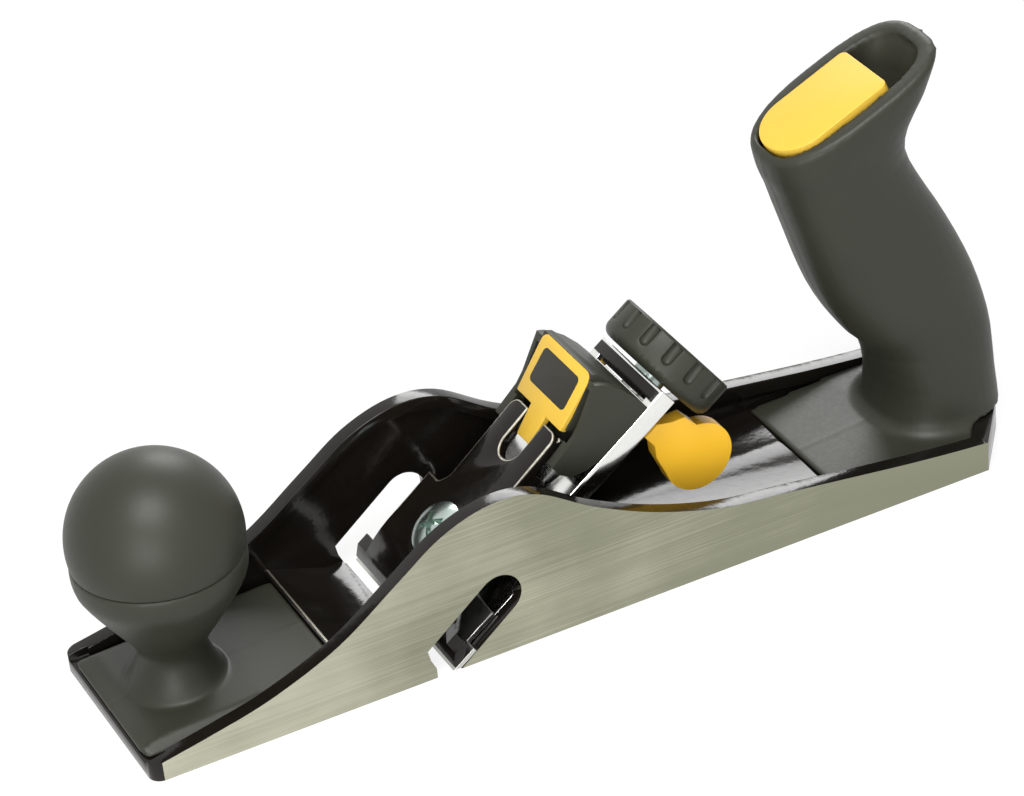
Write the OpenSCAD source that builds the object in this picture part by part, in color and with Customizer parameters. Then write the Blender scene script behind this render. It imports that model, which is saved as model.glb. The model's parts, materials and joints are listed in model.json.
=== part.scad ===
// Universal bench and rebate plane: cast iron body, moulded knob and handle,
// replaceable blade on a sliding carrier, lever cap with a cam lever,
// screw depth feed and lateral lever.
// X runs from toe to heel, Z is up, and the sole lies in the plane z = 0.

/* [Body] */
// Overall length of the casting, toe to heel
body_len = 270; // [250:1:300]
// Width across the ground cheeks
body_w = 61; // [58:0.5:66]
// Thickness of the cheeks
cheek_t = 3.4; // [3:0.1:4]
// Thickness of the rounded rim along the top of the cheeks
rim_t = 4.6; // [4:0.1:5.5]
// Height of the thickened rim
rim_h = 4; // [3:0.5:6]
// Height of the cheeks at their peak beside the blade
peak_h = 47.4; // [44:0.2:52]
// Height of the rim round the heel
heel_h = 9; // [8:0.5:11]
// Thickness of the sole under the knob's flange
toe_floor = 3.6; // [3:0.1:4.4]
// Thickness of the sole under the handle's flange
rear_floor = 5; // [4:0.5:6]
// Distance from the heel to the corners where the straight cheeks end
heel_corner = 17.8; // [15:0.2:21]
// Radius of the heel's rounded nose
nose_r = 22.7; // [20:0.1:25]
// Radius of the toe's corners
toe_r = 3.5; // [3:0.5:8]

/* [Mouth and bed] */
// Distance from the toe to the cutting edge
edge_from_toe = 85.7; // [82:0.5:90]
// Angle of the blade's bed to the sole
bed_angle = 36; // [35:0.5:38]
// Angle of the open slots in the cheeks
slot_angle = 38; // [37:0.5:40]
// Width of the cheek slots
slot_w = 12.8; // [11:0.2:14]
// Length of the cheek slots from the cutting edge
slot_len = 30; // [26:0.5:34]
// Opening in front of the cutting edge
mouth_gap = 4.4; // [4.3:0.1:5.5]
// Width of the narrow part of the bed
bed_rib_w = 26; // [24:0.5:27]
// Length of the bed along its slope
bed_len = 66; // [62:0.5:68]

/* [Blade] */
// Thickness of the blade
blade_t = 1.3; // [1:0.1:1.5]
// Length of the blade from the cutting edge
blade_len = 18; // [17:0.5:19]
// Length of the full-width ears at the cutting edge
ear_len = 8; // [6:0.5:9]
// Length of the ground bevel
bevel_len = 2.2; // [1.5:0.1:2.6]
// Set-back of the edge above the sole, along the bed
edge_back = 0.3; // [0:0.1:0.6]

/* [Blade carrier] */
// Thickness of the carrier plate
carrier_t = 2; // [1.6:0.1:2.4]
// Length of the carrier past the front of the adjuster's yoke
carrier_tail = 5; // [4.5:0.1:6]
// Width of the carrier behind the lever cap
carrier_w = 33.4; // [32:0.2:35]
// Height of the carrier's side flanges, with the plate
flange_h = 5.8; // [4.5:0.1:6.4]

/* [Lever cap and cam lever] */
// Width of the cap's upper plate
cap_w = 24; // [22:0.2:25]
// Length of the cap from the cutting edge to its prongs' ends
cap_len = 64.2; // [63:0.2:64.6]
// Thickness of the cap's plate
cap_t = 3; // [2.5:0.1:3.5]
// Width of the slot between the prongs
prong_gap = 9.2; // [8.6:0.2:10]
// Distance from the cutting edge to the cap screw
screw_u = 24; // [23:0.5:26]
// Diameter of the cap screw's thread
screw_d = 6; // [5:0.5:7]
// Diameter of the cap screw's head
screw_head_d = 16; // [13:0.5:17]
// Distance from the prongs' ends back to the cam pin
cam_back = 3.7; // [3.2:0.1:4.2]
// Height of the cam pin above the blade's top face
cam_w = 5.5; // [5:0.1:6]
// Diameter of the cam pin
cam_pin_d = 4; // [3.5:0.5:4.5]
// Overall width of the cam lever
lever_w = 33.4; // [32:0.2:35]

/* [Depth feed] */
// Diameter of the depth wheel
wheel_d = 36; // [33:0.2:37]
// Thickness of the depth wheel
wheel_t = 11.2; // [9:0.2:12]
// Number of grip slots round the wheel
wheel_grips = 14; // [12:1:18]
// Width of the grip slots
grip_w = 3.4; // [3:0.1:4]
// Depth of the stud's axis below the blade's top face
stud_drop = 8.4; // [8.2:0.1:8.6]
// Diameter of the threaded stud
stud_d = 5; // [4:0.5:5]

/* [Lateral lever] */
// Distance from the cutting edge to the lateral lever's pivot
lateral_u = 48; // [47:0.5:50]
// Arm from the pivot to the pin that shifts the carrier
lateral_arm = 4; // [3.6:0.2:5]
// Thickness of the lever's steel strip
lateral_t = 1.5; // [1.2:0.1:1.6]
// Diameter of the thumb paddle's round end
paddle_d = 20.4; // [18:0.2:21]
// Thickness of the thumb paddle
paddle_t = 4.5; // [3.5:0.5:5.5]

/* [Knob] */
// Diameter of the knob's ball
knob_d = 47; // [42:0.2:48]
// Height of the ball's centre above the sole
knob_z = 51.6; // [48:0.2:55]
// Distance from the toe to the knob's axis
knob_from_toe = 20.6; // [19:0.2:23]
// Drop of the ball's parting line below its centre
part_drop = 4.4; // [3:0.2:6]
// Wall of the ball
knob_wall = 2.6; // [2:0.2:3.2]
// Radius of the knob's neck
neck_r = 9.5; // [8.6:0.1:10.2]
// Length of the knob's flange from the toe
knob_flange_len = 58; // [56:0.2:60]

/* [Handle] */
// Distance from the toe to the front edge of the handle's flange
handle_flange_from_toe = 208; // [204:0.5:212]
// Tilt of the handle's top
top_tilt = 23.2; // [21:0.2:25]
// Wall behind the hollow in the handle's top
handle_wall = 4.8; // [4:0.1:5.4]
// Wall before the hollow
handle_front_wall = 2.7; // [2.2:0.1:3.4]
// Wall beside the hollow
handle_side_wall = 5.3; // [4.6:0.1:6]
// Depth of the blade magazine below the handle's top
magazine_depth = 63; // [62.5:0.1:64]
// Thickness of the magazine's lid
lid_t = 4; // [3:0.1:4.6]
// Number of spare blades
spare_count = 3; // [1:1:3]

/* [Hidden] */

iron = "dimgray";
dark_plastic = "darkslategray";
black_enamel = "black";
yellow_plastic = "gold";
bright_steel = "gainsboro";
zinc = "lightsteelblue";

fit = 0.05;          // radial clearance of pins and shanks in their holes
gap = 0.3;           // clearance between neighbouring castings and mouldings
over = 1;            // how far a cut runs past the face that it opens
toe_x = -body_len / 2;
heel_x = body_len / 2;
edge_x = toe_x + edge_from_toe;
half_w = body_w / 2;
inner_w = half_w - cheek_t;
nose_x = heel_x - nose_r;
corner_x = heel_x - heel_corner;
nose_angle = atan2(half_w, corner_x - nose_x) - acos(nose_r / norm([half_w, corner_x - nose_x]));

// Heights measured square to the bed from the blade's top face
carrier_top = -blade_t;
bed_top = -blade_t - carrier_t;
seat_play = 0.02;    // running clearance of the carrier on its bed
carrier_low = bed_top + seat_play;
bed_wide_len = 30;
bed_blunt = 0.8;     // flat that ends the bed's thin foot
cap_top_0 = 9.6;     // cap's top face at cap_knee
cap_top_1 = 11.9;    // cap's top face at the prongs' ends
cap_knee = 20;
stud_w = -stud_drop;
stud_start = 53;
cam_u = cap_len - cam_back;
leg_t = 2;
leg_y = -8;
leg_u0 = bed_len + 9.5;
leg_u1 = leg_u0 + 7;
yoke_u = max(cam_u + 26, leg_u1 + 3.5);
carrier_len = yoke_u + carrier_tail;
wheel_u = yoke_u + 6.2;

knob_x = toe_x + knob_from_toe;
knob_r = knob_d / 2;
parting_z = knob_z - part_drop;
bolt_d = 6;
bolt_head_d = 10;
bolt_head_h = 4;
washer_t = 1.2;
washer_d = 12.5;
boss_d = 13;
knob_boss_top = 12;
knob_bolt_seat = 26;
ramp_x = toe_x + knob_flange_len;
ramp_z = 9.5;
mouth_x = edge_x - mouth_gap;
mouth_lip = 1.6;

handle_bolt_x = heel_x - 25;
handle_bolt_seat = 36;
handle_boss_d = 15;
handle_boss_top = 16;
flange_x = toe_x + handle_flange_from_toe;
top_back = 41.5;
top_x = heel_x - top_back;
top_z = 113;
top_half_len = 28;
top_half_w = 17.3;
flange_lip = 1.2;    // rise of the flange's front edge from the floor
flange_top = 8.2;
foot_r = 5;          // fillet between the grip and its flange
foot_z = flange_top - 0.4;

// Stations up the handle: [x of the centre, z, half length, half width, tilt, squareness
// of the rear half], with x measured back from the heel
stations = [
    [-17.7, foot_z + foot_r, 17.5, 19, 0, 2.5], [-17.7, 20, 16.9, 18.3, 0, 2.5],
    [-19.2, 32, 18.1, 17, 1, 2.5], [-22.9, 40, 20.4, 16.6, 3, 2.5], [-27.4, 50, 21.7, 16.6, 6, 2.5],
    [-31.9, 60, 21.7, 16.4, 9, 2.5], [-36.2, 70, 20.8, 16, 12, 2.5], [-40.5, 80, 19.5, 15.6, 15, 2.5],
    [-44.1, 90, 19, 15.3, 18, 2.6], [-44.2, 98, 21.2, 15.7, 20, 2.7], [-42.6, 105, 25.2, 16.6, 22, 2.9],
    [-top_back, top_z, top_half_len, top_half_w, top_tilt, 3.1]
];
ring_points = 36;
front_power = 2.5;   // squareness of the rings' front half
hollow_power = 3.2;

function lerp(a, b, t) = a + (b - a) * t;
function spline(a, b, c, d, t) =
    0.5 * (2 * b + (c - a) * t + (2 * a - 5 * b + 4 * c - d) * t * t
    + (3 * b - a - 3 * c + d) * t * t * t);
function at(list, i) = list[max(0, min(len(list) - 1, i))];
function smooth(list, steps) = [
    for (i = [0:len(list) - 2], s = [0:steps - 1])
        spline(at(list, i - 1), list[i], list[i + 1], at(list, i + 2), s / steps),
    list[len(list) - 1]
];
function signed_pow(v, e) = v < 0 ? -pow(-v, e) : pow(v, e);

// Top edge of the cheeks, as [x from the toe, z]
cheek_points = [
    [-1, 4.9], [17, 8.4], [35, 12.8], [55, 21.2], [73, 33.6], [87, 43], [101.5, peak_h],
    [115, 45.4], [131, 35.2], [149, 26.4], [169, 20], [188, 17.3], [207, 14.6], [228, heel_h + 2.7],
    [body_len - 23, heel_h + 0.6], [body_len - 12, heel_h], [body_len + 2, heel_h]
];
cheek_curve = smooth(cheek_points, 6);

// Points of an arc from one angle to another
function arc(cx, cy, r, from, to, step = 6) =
    let (steps = max(2, ceil(abs(to - from) / (r < 2 ? 30 : step))))
    [for (i = [0:steps]) let (a = lerp(from, to, i / steps)) [cx + r * cos(a), cy + r * sin(a)]];

// Extrudes an outline drawn in x and z to a slab that is w wide in y
module side_slab(w) {
    rotate([90, 0, 0]) linear_extrude(w, center = true) children();
}

// Places children in the bed's frame: x up the bed, z square to it
module on_bed() {
    translate([edge_x, 0, 0]) rotate([0, -bed_angle, 0]) children();
}

// Places children in the frame of the handle's tilted top
module on_top() {
    translate([top_x, 0, top_z]) rotate([0, -top_tilt, 0]) children();
}

// Outline of the casting seen from above, drawn in by inset
module plan(inset) {
    w = half_w - inset;
    r = max(toe_r - inset, 0.5);
    x0 = toe_x + inset;
    side_x = (nose_x * cos(nose_angle) + nose_r - inset - w * sin(nose_angle)) / cos(nose_angle);
    polygon(concat(
        arc(x0 + r, -w + r, r, 180, 270),
        [[side_x, -w]],
        arc(nose_x, 0, nose_r - inset, -nose_angle, nose_angle),
        [[side_x, w]],
        arc(x0 + r, w - r, r, 90, 180)));
}

// Region under the cheeks' top edge, lowered by drop
module under_edge(drop) {
    polygon(concat(
        [[toe_x - 2, -5 - drop]],
        [for (p = cheek_curve) [toe_x + p[0], p[1] - drop]],
        [[heel_x + 2, -5 - drop]]));
}

// Slot that lets the blade's ears through the cheeks
module cheek_slot() {
    slot_low = -1.65;
    slot_end = slot_len - slot_w / 2;
    translate([edge_x, 0, 0]) rotate(slot_angle) {
        translate([-slot_w, slot_low]) square([slot_end + slot_w, slot_w]);
        translate([slot_end, slot_low + slot_w / 2]) circle(d = slot_w, $fn = 64);
    }
}

module body() {
    color(iron) difference() {
        union() {
            difference() {
                intersection() {
                    linear_extrude(60) plan(0);
                    side_slab(body_w + 2) under_edge(0);
                }
                trough();
            }
            floors();
        }
        cheek_cuts();
        bed_cuts();
        translate([knob_x, 0, 2]) cylinder(d = bolt_d, h = 20, $fn = 48);
        translate([handle_bolt_x, 0, 2]) cylinder(d = bolt_d, h = 20, $fn = 48);
    }
}

// Space between the cheeks, narrower beside the rim, open at the toe
module trough() {
    translate([0, 0, toe_floor]) linear_extrude(60) plan(rim_t);
    intersection() {
        translate([0, 0, toe_floor]) linear_extrude(60) plan(cheek_t);
        side_slab(body_w) under_edge(rim_h);
    }
    translate([toe_x - over, -inner_w, toe_floor]) cube([max(toe_r, rim_t) + 2 * over, 2 * inner_w, 20]);
}

// Ramp before the mouth, bed for the carrier, rear floor and the two bosses
module floors() {
    intersection() {
        linear_extrude(60) plan(cheek_t / 2);
        union() {
            side_slab(body_w - cheek_t) polygon([
                [ramp_x, 0], [ramp_x, ramp_z], [ramp_x + 1, ramp_z], [mouth_x, mouth_lip], [mouth_x, 0]]);
            bed_block(body_w - cheek_t, bed_wide_len);
            bed_block(bed_rib_w, bed_len);
            translate([edge_x + 20, -half_w, 0]) cube([body_len, body_w, rear_floor]);
        }
    }
    translate([knob_x, 0, 1]) cylinder(d = boss_d, h = knob_boss_top - 1, $fn = 64);
    translate([handle_bolt_x, 0, 1]) cylinder(d = handle_boss_d, h = handle_boss_top - 1, $fn = 64);
}

// Solid under the bed plane, from the sole up to a length along the slope
module bed_block(w, length) {
    low_u = -bed_top / tan(bed_angle);
    foot_x = edge_x + low_u * cos(bed_angle) - bed_top * sin(bed_angle);
    head_x = edge_x + length * cos(bed_angle) - bed_top * sin(bed_angle);
    head_z = length * sin(bed_angle) + bed_top * cos(bed_angle);
    side_slab(w) polygon([
        [foot_x, 0], [head_x, head_z], [head_x + 2, head_z - 9], [head_x + 2, 0]]);
}

// The mouth runs out through both cheeks into the slots
module cheek_cuts() {
    notch_z = 9.4;
    notch_x = mouth_x - 2;
    for (s = [-1, 1]) translate([0, s * (half_w - 1), 0]) side_slab(cheek_t + 4) intersection() {
        cheek_slot();
        polygon([[mouth_x, -over], [mouth_x, 3], [mouth_x - 1.4, 6.2], [notch_x, notch_z],
            [notch_x, 60], [edge_x + 60, 60], [edge_x + 60, -over]]);
    }
    low_x = edge_x - bed_top / sin(bed_angle) + bed_blunt;
    end_x = edge_x + bed_wide_len * cos(bed_angle) - bed_top * sin(bed_angle);
    end_z = bed_wide_len * sin(bed_angle) + bed_top * cos(bed_angle);
    side_slab(2 * inner_w) polygon([
        [mouth_x, -over], [low_x, -over], [low_x, bed_blunt * tan(bed_angle)],
        [end_x, end_z], [end_x, end_z + 10], [mouth_x, end_z + 10]]);
}

// Cap screw hole, stud hole, lateral lever's recess and its rivet hole
module bed_cuts() {
    on_bed() {
        translate([screw_u, 0, bed_top - 10]) cylinder(d = screw_d, h = 20, $fn = 48);
        translate([stud_start, 0, stud_w]) rotate([0, 90, 0]) cylinder(d = stud_d, h = 40, $fn = 48);
        translate([lateral_u, 0, bed_top - 8]) cylinder(d = 4, h = 20, $fn = 48);
        translate([lateral_u - 10, -recess_w / 2, recess_low])
            cube([bed_len, recess_w, bed_top - recess_low + over]);
    }
    web_cavity();
}
recess_w = 15;
recess_low = bed_top - lateral_t - 0.4;

// Hollow under the rib, open to the rear
module web_cavity() {
    web_t = 5;
    translate([edge_x + bed_wide_len * cos(bed_angle) + 10, -bed_rib_w / 2 + web_t, rear_floor])
        intersection() {
            cube([60, bed_rib_w - 2 * web_t, 40]);
            translate([-10, 0, -14.5]) rotate([0, -bed_angle, 0]) translate([0, -5, -40])
                cube([90, bed_rib_w, 40]);
        }
}

// Bell profile of the knob below the parting line, as [radius, z]
knob_rim_r = sqrt(knob_r * knob_r - part_drop * part_drop);
bell_points = [
    [neck_r + 12.5, 2], [neck_r + 8, 4.6], [neck_r + 4.6, 7.4], [neck_r + 2, 11.2],
    [neck_r, parting_z - 30.2], [neck_r + 1, parting_z - 26.2], [knob_rim_r - 8.7, parting_z - 20.4],
    [knob_rim_r - 4.1, parting_z - 13.4], [knob_rim_r - 0.7, parting_z - 7.6],
    [knob_rim_r + 0.15, parting_z - 3.7], [knob_rim_r, parting_z]
];
bell_curve = smooth(bell_points, 4);

module knob_base() {
    spigot_r = knob_rim_r - knob_wall - 0.2;
    color(dark_plastic) difference() {
        union() {
            knob_flange();
            intersection() {
                translate([knob_x, 0, 0]) rotate_extrude($fn = 96)
                    polygon(concat([[0, 2]], bell_curve, [[0, parting_z]]));
                union() {
                    translate([0, 0, toe_floor]) linear_extrude(10) knob_flange_plan();
                    translate([knob_x, 0, toe_floor + 9]) cylinder(d = 2 * knob_d, h = knob_z, $fn = 64);
                }
            }
            translate([knob_x, 0, parting_z - 2]) cylinder(r = spigot_r, h = 5, $fn = 96);
        }
        translate([knob_x, 0, toe_floor - over])
            cylinder(d = boss_d + 2 * gap, h = knob_boss_top + gap - toe_floor + over, $fn = 64);
        translate([knob_x, 0, toe_floor]) cylinder(d = bolt_d + 2 * gap, h = 50, $fn = 48);
        translate([knob_x, 0, knob_bolt_seat]) cylinder(d = 13.4, h = 40, $fn = 64);
        translate([knob_x, 0, 34]) cylinder(r1 = 6.7, r2 = spigot_r - 2.4, h = 12, $fn = 64);
        translate([knob_x, 0, 46 - fit]) cylinder(r = spigot_r - 2.4, h = 20, $fn = 64);
    }
}

// Plan of the knob's flange, which fills the toe
module knob_flange_plan() {
    w = half_w - rim_t - gap;
    x0 = toe_x + 0.6;
    r = 4;
    translate([x0 + r, -w]) square([ramp_x - gap - x0 - r, 2 * w]);
    translate([x0, -w + r]) square([2 * r, 2 * (w - r)]);
    for (s = [-1, 1]) translate([x0 + r, s * (w - r)]) circle(r = r, $fn = 48);
}

// Plate round the knob's foot, rising to the rear and falling away along both rims
module knob_flange() {
    half = half_w - rim_t - gap;
    side_band = 4.2;
    side_fall = 3;
    front_z = toe_floor + 3.2;
    slope = atan2(ramp_z - front_z, knob_flange_len - 6);
    intersection() {
        translate([0, 0, toe_floor]) linear_extrude(20) knob_flange_plan();
        side_slab(body_w) polygon([
            [toe_x, 0], [toe_x, toe_floor + 2], [toe_x + 6, front_z],
            [toe_x + 36, ramp_z - 1], [ramp_x, ramp_z], [ramp_x, 0]]);
        translate([toe_x + 6, 0, front_z]) rotate([0, -slope, 0]) rotate([90, 0, 90])
            translate([0, 0, -20]) linear_extrude(knob_flange_len + 40) polygon([
                [-half, -20], [-half, -side_fall], [0, side_fall * (half / side_band - 1)],
                [half, -side_fall], [half, -20]]);
    }
}

module knob_cap() {
    color(dark_plastic) difference() {
        translate([knob_x, 0, knob_z]) sphere(r = knob_r, $fn = 96);
        translate([knob_x, 0, knob_z]) sphere(r = knob_r - knob_wall, $fn = 96);
        translate([knob_x, 0, 0]) cylinder(r = knob_r + over, h = parting_z, $fn = 96);
        translate([knob_x, 0, parting_z - over])
            cylinder(r = knob_rim_r - knob_wall - 0.2 + fit, h = 3 + fit + over, $fn = 96);
    }
}

// Cheese-head bolt standing at the origin, head up, seated at z = 0
module bolt(length) {
    difference() {
        union() {
            translate([0, 0, -length]) cylinder(r = bolt_d / 2 - fit, h = length, $fn = 48);
            cylinder(d = bolt_head_d, h = bolt_head_h, $fn = 64);
        }
        translate([-0.7, -bolt_head_d, bolt_head_h - 1.8]) cube([1.4, 2 * bolt_head_d, 5]);
    }
}

module washer() {
    difference() {
        cylinder(d = washer_d, h = washer_t, $fn = 64);
        translate([0, 0, -over]) cylinder(d = bolt_d + 0.4, h = washer_t + 2 * over, $fn = 48);
    }
}

module knob_bolt() {
    color(zinc) translate([knob_x, 0, knob_bolt_seat + washer_t]) bolt(knob_bolt_seat + washer_t - 3);
}

module knob_washer() {
    color(zinc) translate([knob_x, 0, knob_bolt_seat]) washer();
}

// One ring of the handle, drawn in by the walls [front, rear, side]
function ring(st, walls, front_p, rear_p) = [
    for (i = [0:ring_points - 1])
        let (a = 360 * i / ring_points,
            e = 2 / (cos(a) > 0 ? rear_p : front_p),
            px = (st[2] - (walls[0] + walls[1]) / 2) * signed_pow(cos(a), e) + (walls[0] - walls[1]) / 2,
            py = (st[3] - walls[2]) * signed_pow(sin(a), e))
        [heel_x + st[0] + px * cos(st[4]), py, st[1] + px * sin(st[4])]
];

// Closed skin through a list of rings
module loft(rings) {
    n = ring_points;
    last = len(rings) - 1;
    polyhedron(
        points = [for (r = rings, p = r) p],
        faces = concat(
            [[for (i = [n - 1:-1:0]) n - 1 - i]],
            [for (k = [0:last - 1], i = [0:n - 1])
                [k * n + i, (k + 1) * n + i, (k + 1) * n + (i + 1) % n, k * n + (i + 1) % n]],
            [[for (i = [0:n - 1]) last * n + n - 1 - i]]));
}

// The foot fillet spreads to the front and the sides, and stands upright at the heel
function foot_ring(a) = let (st = stations[0], out = foot_r * (1 - sin(a)))
    [st[0] - out / 2, foot_z + foot_r * (1 - cos(a)), st[2] + out / 2, st[3] + out, 0, st[5]];

module handle_grip() {
    curve = concat([for (a = [0:22.5:67.5]) foot_ring(a)], smooth(stations, 2));
    rings = [for (st = curve) ring(st, [0, 0, 0], front_power, st[5])];
    top = stations[len(stations) - 1];
    lift = 1.2;
    crown = [top[0] - lift * sin(top_tilt), top[1] + lift * cos(top_tilt), top[2], top[3], top_tilt];
    loft(concat(rings, [ring(crown, [lift, lift, lift], front_power, top[5])]));
}

// Hollow top of the handle, following its outside at the walls' distances
module handle_hollow() {
    n = len(stations);
    top = stations[n - 1];
    rise = 3;
    above = [top[0] - rise * sin(top_tilt), top[1] + rise * cos(top_tilt), top[2], top[3], top_tilt];
    inner = smooth([stations[n - 4], stations[n - 3], stations[n - 2], top], 2);
    walls = [handle_front_wall, handle_wall, handle_side_wall];
    loft([for (st = concat(inner, [above])) ring(st, walls, hollow_power, hollow_power)]);
}

module handle_flange() {
    rise_end = heel_x - 36;
    intersection() {
        translate([0, 0, rear_floor]) linear_extrude(30) intersection() {
            plan(rim_t + gap);
            translate([flange_x, -half_w]) square([body_len, body_w]);
        }
        side_slab(body_w) polygon([
            [flange_x, 0], [flange_x, rear_floor + flange_lip], [rise_end, flange_top],
            [heel_x, flange_top], [heel_x, 0]]);
    }
}

magazine_w = 13.4;
magazine_x0 = -19.6;
magazine_x1 = 2.6;

module handle() {
    color(dark_plastic) difference() {
        union() {
            handle_grip();
            handle_flange();
        }
        handle_hollow();
        on_top() translate([magazine_x0 - gap, -magazine_w / 2 - gap, -magazine_depth - gap])
            cube([magazine_x1 - magazine_x0 + 2 * gap, magazine_w + 2 * gap, magazine_depth + 10]);
        translate([handle_bolt_x, 0, 0])
            cylinder(d = handle_boss_d + 2 * gap, h = handle_boss_top + gap, $fn = 64);
        translate([handle_bolt_x, 0, 0]) cylinder(d = bolt_d + 2 * gap, h = 60, $fn = 48);
        translate([handle_bolt_x, 0, handle_bolt_seat]) cylinder(d = 13.4, h = 18, $fn = 64);
        translate([toe_x, -body_w, -20]) cube([body_len + 20, 2 * body_w, 20 + rear_floor]);
        linear_extrude(heel_h + gap) difference() {
            translate([flange_x, -body_w]) square([body_len, 2 * body_w]);
            plan(rim_t + gap);
        }
    }
}

module handle_bolt() {
    color(zinc) translate([handle_bolt_x, 0, handle_bolt_seat + washer_t])
        bolt(handle_bolt_seat + washer_t - 3);
}

module handle_washer() {
    color(zinc) translate([handle_bolt_x, 0, handle_bolt_seat]) washer();
}

lid_x0 = handle_front_wall + gap - top_half_len;
lid_x1 = 9.4;
lid_half = top_half_w - handle_side_wall - gap - 0.5;
lid_low = -1.7;

// Lid with a round front and a straight rear edge, seen along the handle's top
module lid_plan() {
    corner = 2;
    translate([lid_x0 + lid_half, 0]) circle(r = lid_half, $fn = 64);
    translate([lid_x0 + lid_half, -lid_half]) square([lid_x1 - corner - lid_x0 - lid_half, 2 * lid_half]);
    translate([lid_x1 - 2 * corner, -lid_half + corner]) square([2 * corner, 2 * (lid_half - corner)]);
    for (s = [-1, 1]) translate([lid_x1 - corner, s * (lid_half - corner)]) circle(r = corner, $fn = 32);
}

spare_gap = 2.6;
spare_len = blade_len + 0.4;

module blade_magazine() {
    wall = 0.9;
    color(yellow_plastic) on_top() difference() {
        union() {
            translate([0, 0, lid_low]) linear_extrude(lid_t) lid_plan();
            translate([magazine_x0, -magazine_w / 2, -magazine_depth])
                cube([magazine_x1 - magazine_x0, magazine_w, magazine_depth + lid_low + 0.5]);
        }
        for (i = [0:spare_count - 1])
            translate([magazine_x0 - over, spare_y(i) - blade_t / 2 - fit, -magazine_depth + wall])
                cube([spare_len + over + fit, blade_t + 2 * fit, body_w - 0.2 + 2 * fit]);
    }
}

function spare_y(i) = (i - (spare_count - 1) / 2) * spare_gap;

module spare_blades() {
    wall = 0.9;
    color(bright_steel) on_top() for (i = [0:spare_count - 1])
        translate([magazine_x0 + 0.2, spare_y(i) + blade_t / 2,
            -magazine_depth + wall + fit + (body_w - 0.2) / 2])
            rotate([90, 0, 0]) linear_extrude(blade_t) blade_plan();
}

// Blade seen square to its face: full-width ears at the edge, two locating holes
module blade_plan() {
    w = body_w - 0.2;
    neck = 2 * (inner_w - 0.8);
    difference() {
        union() {
            translate([0, -w / 2]) square([ear_len, w]);
            translate([0, -neck / 2]) square([blade_len, neck]);
        }
        for (s = [-1, 1]) translate([rivet_u, s * rivet_y]) circle(d = rivet_hole, $fn = 48);
    }
}
rivet_u = 13.4;
rivet_y = 15;
rivet_d = 5;
rivet_hole = rivet_d + 0.1;

module blade() {
    color(bright_steel) on_bed() translate([edge_back, 0, 0]) difference() {
        translate([0, 0, -blade_t]) linear_extrude(blade_t) blade_plan();
        side_slab(body_w + 2) polygon([[-over, over], [0, 0], [bevel_len, -blade_t], [bevel_len, -3],
            [-over, -3]]);
    }
}

module blade_rivets() {
    color(zinc) on_bed() for (s = [-1, 1])
        translate([edge_back + rivet_u, s * rivet_y, carrier_low])
            cylinder(d = rivet_d, h = carrier_t + 1, $fn = 48);
}

front_half = inner_w - 0.8;
carrier_front = 4;
carrier_wide_end = 31;

// Plate with side flanges; slots for the cap screw, the lateral pin and the yoke pin
module blade_carrier() {
    color(bright_steel) on_bed() difference() {
        union() {
            side_slab(2 * front_half) polygon([
                [carrier_front, carrier_top], [carrier_wide_end, carrier_top],
                [carrier_wide_end, carrier_low], [carrier_front + 2.8, carrier_low]]);
            translate([carrier_wide_end - 8, -carrier_w / 2, carrier_low])
                cube([carrier_len - carrier_wide_end + 8, carrier_w, carrier_top - carrier_low]);
            for (s = [-1, 1]) translate([flange_start, s * (carrier_w / 2 - 1) - 1, carrier_top - flange_h])
                cube([carrier_len - flange_start, 2, flange_h]);
        }
        bush_r = bush_d / 2 + 0.1;
        for (du = [-feed, feed]) translate([screw_u + du, 0, bed_top - over])
            cylinder(r = bush_r, h = carrier_t + 2 * over, $fn = 48);
        translate([screw_u - feed, -bush_r, bed_top - over]) cube([2 * feed, 2 * bush_r, carrier_t + 2 * over]);
        for (s = [-1, 1]) translate([edge_back + rivet_u, s * rivet_y, bed_top - over])
            cylinder(d = rivet_d + 0.04, h = 10, $fn = 48);
        pin_r = lateral_pin_d / 2 + 0.2;
        translate([lateral_u - lateral_arm - feed - pin_r, -pin_r, bed_top - over])
            cube([2 * (feed + pin_r), 2 * pin_r, carrier_t + 2 * over]);
        translate([yoke_u - yoke_play, -yoke_half - yoke_side_play, bed_top - over])
            cube([yoke_t + 2 * yoke_play, 2 * (yoke_half + yoke_side_play), carrier_t + 2 * over]);
    }
}
flange_start = 50;
feed = 1.5;          // travel of the carrier each way
bush_d = 9;
lateral_pin_d = 3;

module guide_bush() {
    color(zinc) on_bed() translate([screw_u, 0, bed_top]) difference() {
        cylinder(d = bush_d, h = carrier_t - 0.1, $fn = 48);
        translate([0, 0, -over]) cylinder(d = screw_d + 0.2, h = 10, $fn = 48);
    }
}

// Side outline of the cap: a foot on the blade, then an arched plate
cap_top_points = [[1.3, 0.9], [4, 3.2], [8, 6.2], [13, 8.6], [cap_knee, cap_top_0]];
cap_low_points = [[cap_knee, cap_top_0 - cap_t], [13, 5.4], [8.5, 2.7], [5.4, 0.6], [4.2, 0.1], [1.3, 0.1]];

module cap_outline() {
    polygon(concat(
        smooth(cap_top_points, 3), [[cap_len, cap_top_1], [cap_len, cap_top_1 - cap_t]],
        smooth(cap_low_points, 3)));
}

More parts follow.
